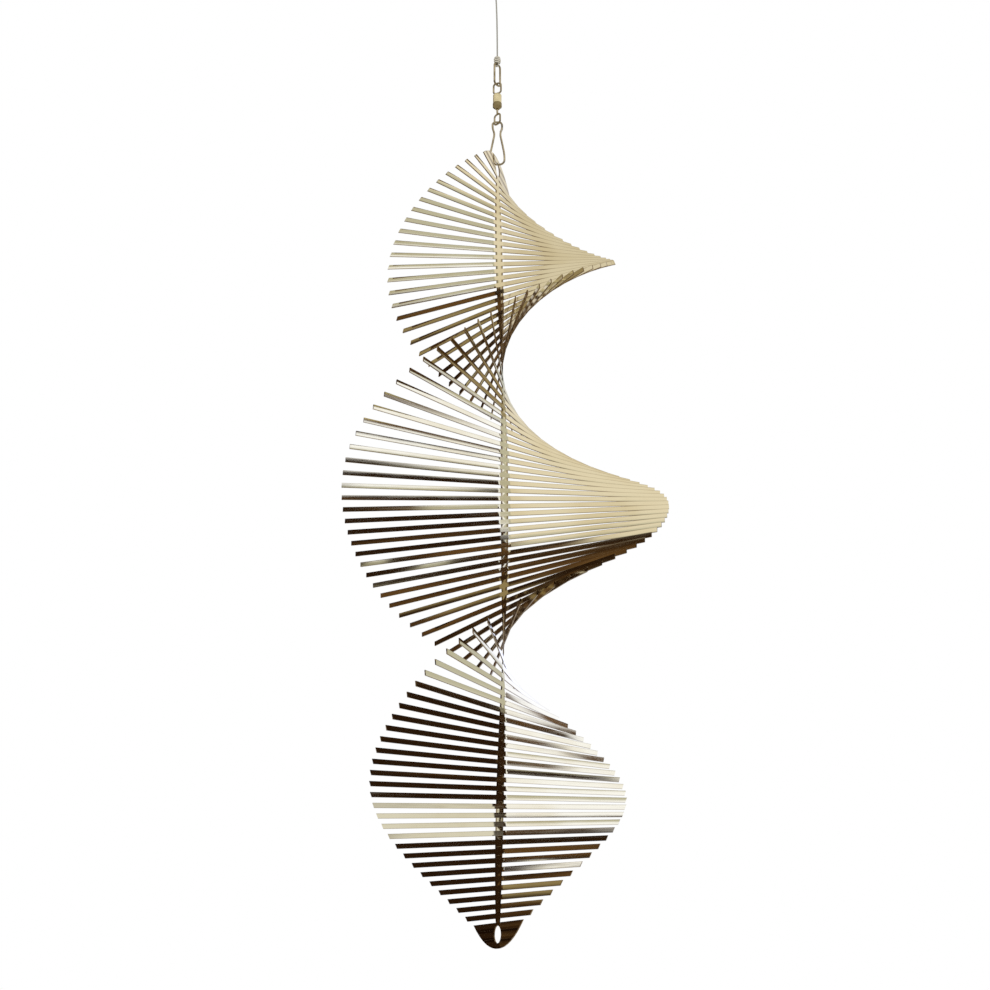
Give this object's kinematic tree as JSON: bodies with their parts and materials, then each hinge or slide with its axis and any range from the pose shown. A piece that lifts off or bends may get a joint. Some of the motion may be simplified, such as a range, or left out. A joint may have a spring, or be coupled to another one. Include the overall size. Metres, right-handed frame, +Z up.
{
  "type": "wind spinner",
  "caption": "Hanging wind spinner: an oval polished steel sheet cut into slats and twisted into a helix, on a snap hook, ball-bearing swivel, oval ring and cord.",
  "frame": {"origin": "inside top of the hanging loop, where a hook or nail carries the spinner", "axes": "+Z up; +X along the middle slat of the twisted sheet; +Y away from the side that is seen first"},
  "size_m": [0.1784, 0.1682, 0.5975],
  "materials": {
    "gold_mirror_steel": "mirror-polished gold-tone steel",
    "spring_wire": "dull nickel-plated spring wire",
    "swivel_brass": "pale plated brass",
    "dark_brass": "aged brass",
    "bearing_steel": "polished bearing steel",
    "cord": "pale twisted nylon"
  },
  "bodies": {
    "cord": {"hanging_cord": "cord", "ring_knot": "cord", "loop_knot": "cord"},
    "ring": {"oval_ring": "spring_wire"},
    "upper_pin": {"upper_eye_pin": "spring_wire"},
    "barrel": {"swivel_barrel": "swivel_brass", "swivel_cap": "dark_brass", "bearing_balls": "bearing_steel"},
    "lower_pin": {"lower_eye_pin": "spring_wire", "thrust_washer": "bearing_steel"},
    "hook": {"snap_hook": "spring_wire"},
    "spinner": {"spinner_sheet": "gold_mirror_steel"}
  },
  "joints": [
    {"name": "ring_swing", "type": "hinge", "parent": "cord", "child": "ring", "pos_m": [0, 0, -0.0797], "axis": [0.5299, 0.848, 0], "range_deg": [-40, 40]},
    {"name": "pin_swing", "type": "hinge", "parent": "ring", "child": "upper_pin", "pos_m": [0, 0, -0.0946], "axis": [-0.5299, -0.848, 0], "range_deg": [-40, 40]},
    {"name": "barrel_spin", "type": "hinge", "parent": "upper_pin", "child": "barrel", "pos_m": [0, 0, -0.10105], "axis": [0, 0, 1], "continuous": true},
    {"name": "lower_pin_spin", "type": "hinge", "parent": "barrel", "child": "lower_pin", "pos_m": [0, 0, -0.10755], "axis": [0, 0, 1], "continuous": true},
    {"name": "hook_swing", "type": "hinge", "parent": "lower_pin", "child": "hook", "pos_m": [0, 0, -0.12075], "axis": [0.9903, 0.1392, 0], "range_deg": [-40, 40]},
    {"name": "spinner_swing", "type": "hinge", "parent": "hook", "child": "spinner", "pos_m": [0, 0, -0.14995], "axis": [-0.9903, -0.1392, 0], "range_deg": [-40, 40]}
  ]
}
